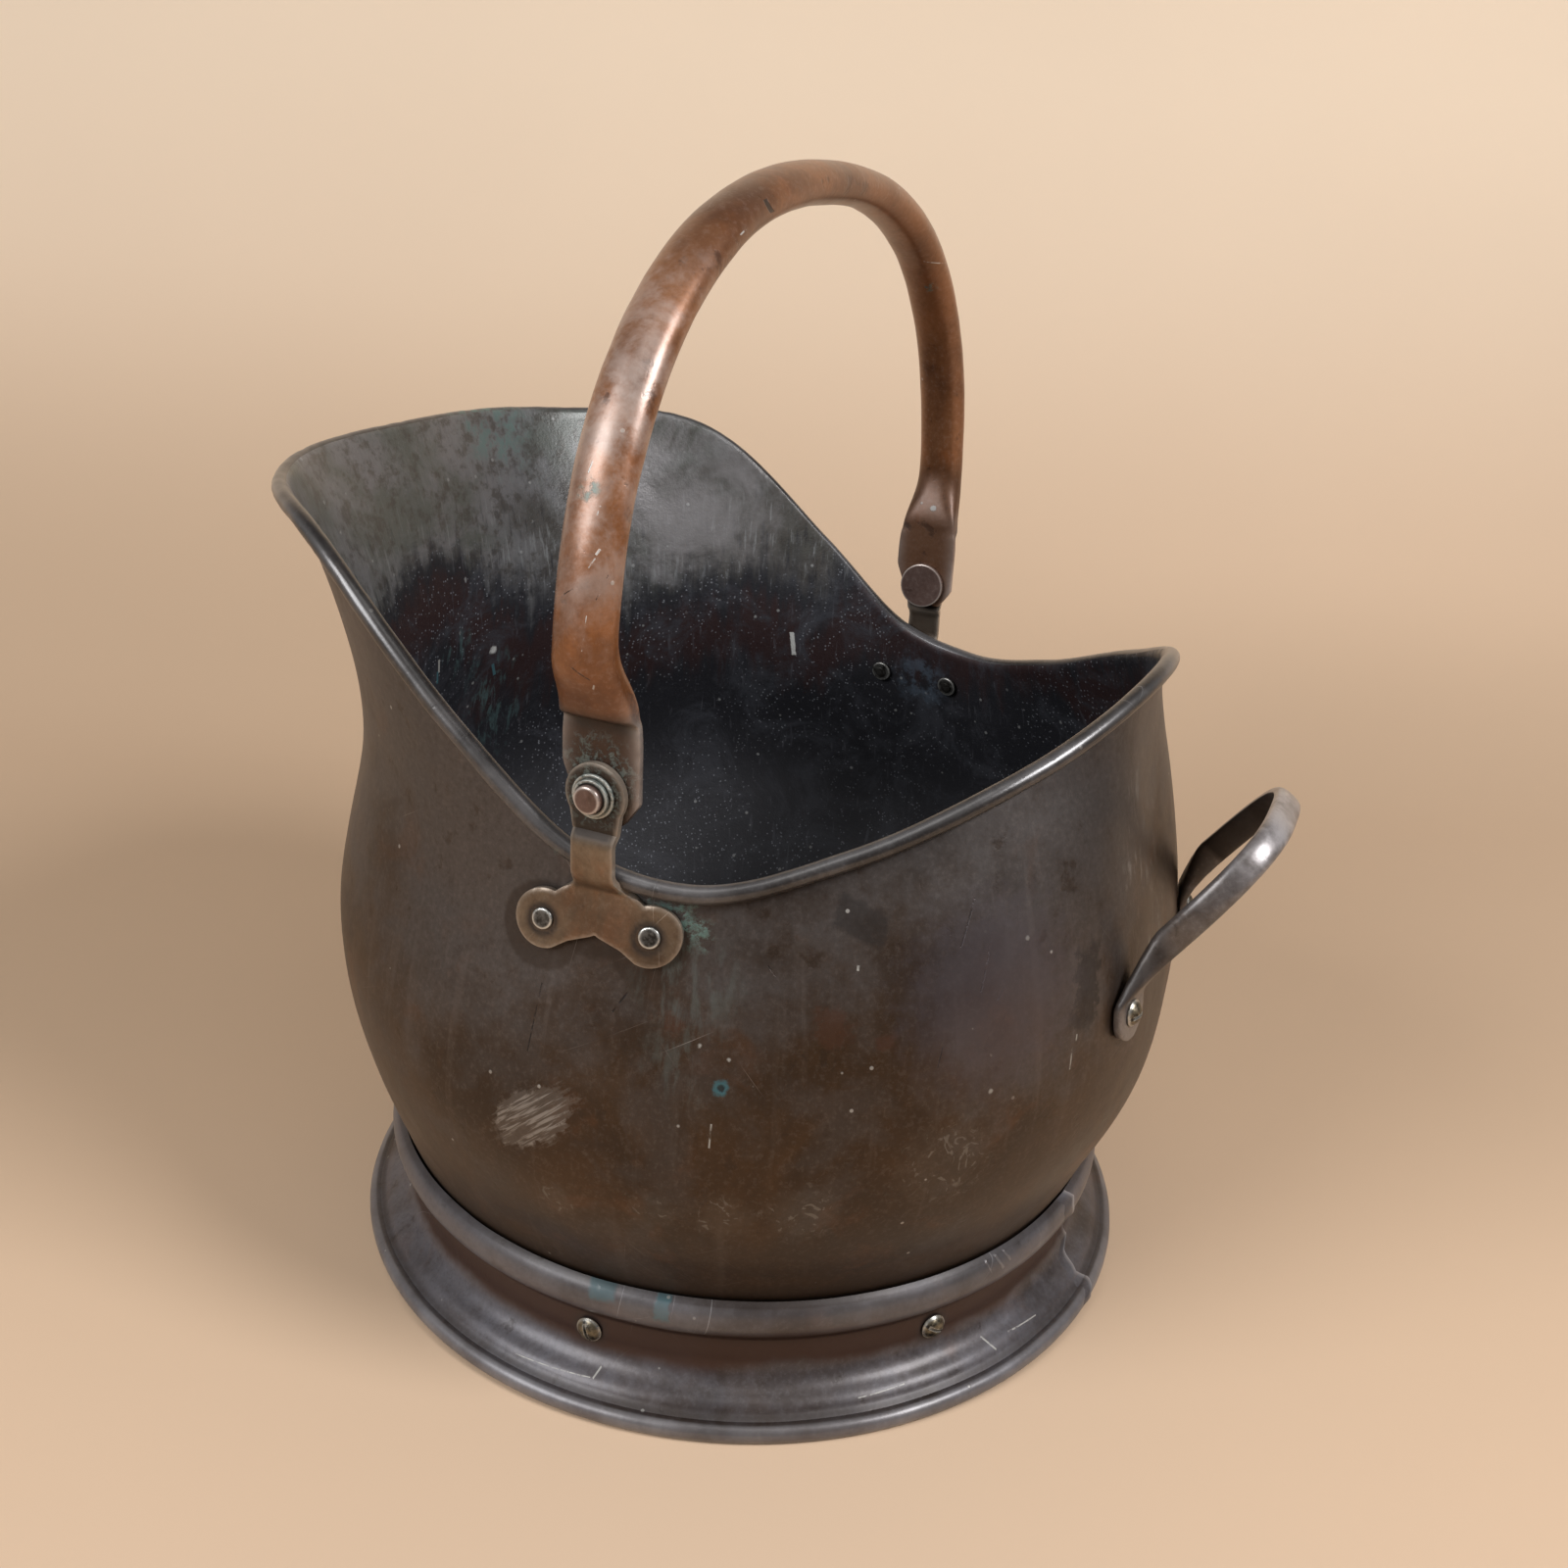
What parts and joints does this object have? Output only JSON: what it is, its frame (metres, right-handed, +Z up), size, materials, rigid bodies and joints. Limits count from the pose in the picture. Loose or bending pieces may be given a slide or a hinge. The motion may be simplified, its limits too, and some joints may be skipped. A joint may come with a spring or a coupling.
{
  "type": "coal scuttle",
  "caption": "Helmet-shaped copper coal scuttle with a high pouring spout, a swinging tubular bail, a looped tipping handle at the back and a flared, bolted foot.",
  "frame": {"origin": "on the floor, under the middle of the object's box; the middle of the round foot is 15.8 mm in front of it, towards -Y", "axes": "+Z up, -Y towards the tip of the pouring spout, +Y towards the tipping handle, +X to the left hand of someone who pours"},
  "size_m": [0.3216, 0.361, 0.4038],
  "materials": {
    "body_copper": "old copper, dark brown-bronze patina with grey bloom, drips and scratches",
    "foot_copper": "old copper, greyer patina, worn bright on its edges, verdigris in the corners",
    "bail_copper": "old copper, warm brown to orange, handled smooth, pitted, with white specks",
    "handle_copper": "old copper, grey-pink sheen, dark in its corners",
    "brass_fixings": "dull brass, dark in the slots",
    "steel_fixings": "dull grey metal with bright worn rings",
    "iron_wire": "dark iron, hidden in the rolled edges"
  },
  "bodies": {
    "scuttle": {"body_shell": "body_copper", "rim_wire": "iron_wire", "base_pan": "body_copper", "foot_skirt": "foot_copper", "foot_edge_wire": "iron_wire", "foot_bolts": "brass_fixings", "foot_nuts": "brass_fixings", "left_bracket": "bail_copper", "right_bracket": "bail_copper", "left_bracket_rivets": "steel_fixings", "right_bracket_rivets": "steel_fixings", "left_rivet_roves": "steel_fixings", "right_rivet_roves": "steel_fixings", "left_pivot_pin": "bail_copper", "right_pivot_pin": "bail_copper", "left_large_washer": "steel_fixings", "right_large_washer": "steel_fixings", "left_small_washer": "steel_fixings", "right_small_washer": "steel_fixings", "tipping_handle": "handle_copper", "left_handle_bolt": "brass_fixings", "right_handle_bolt": "brass_fixings", "left_handle_washer": "steel_fixings", "right_handle_washer": "steel_fixings", "left_handle_nut": "brass_fixings", "right_handle_nut": "brass_fixings"},
    "bail": {"bail": "bail_copper"}
  },
  "joints": [
    {"name": "bail_swing", "type": "hinge", "parent": "scuttle", "child": "bail", "pos_m": [0, -0.00433, 0.229], "axis": [1, 0, 0], "range_deg": [-92, 54]}
  ]
}
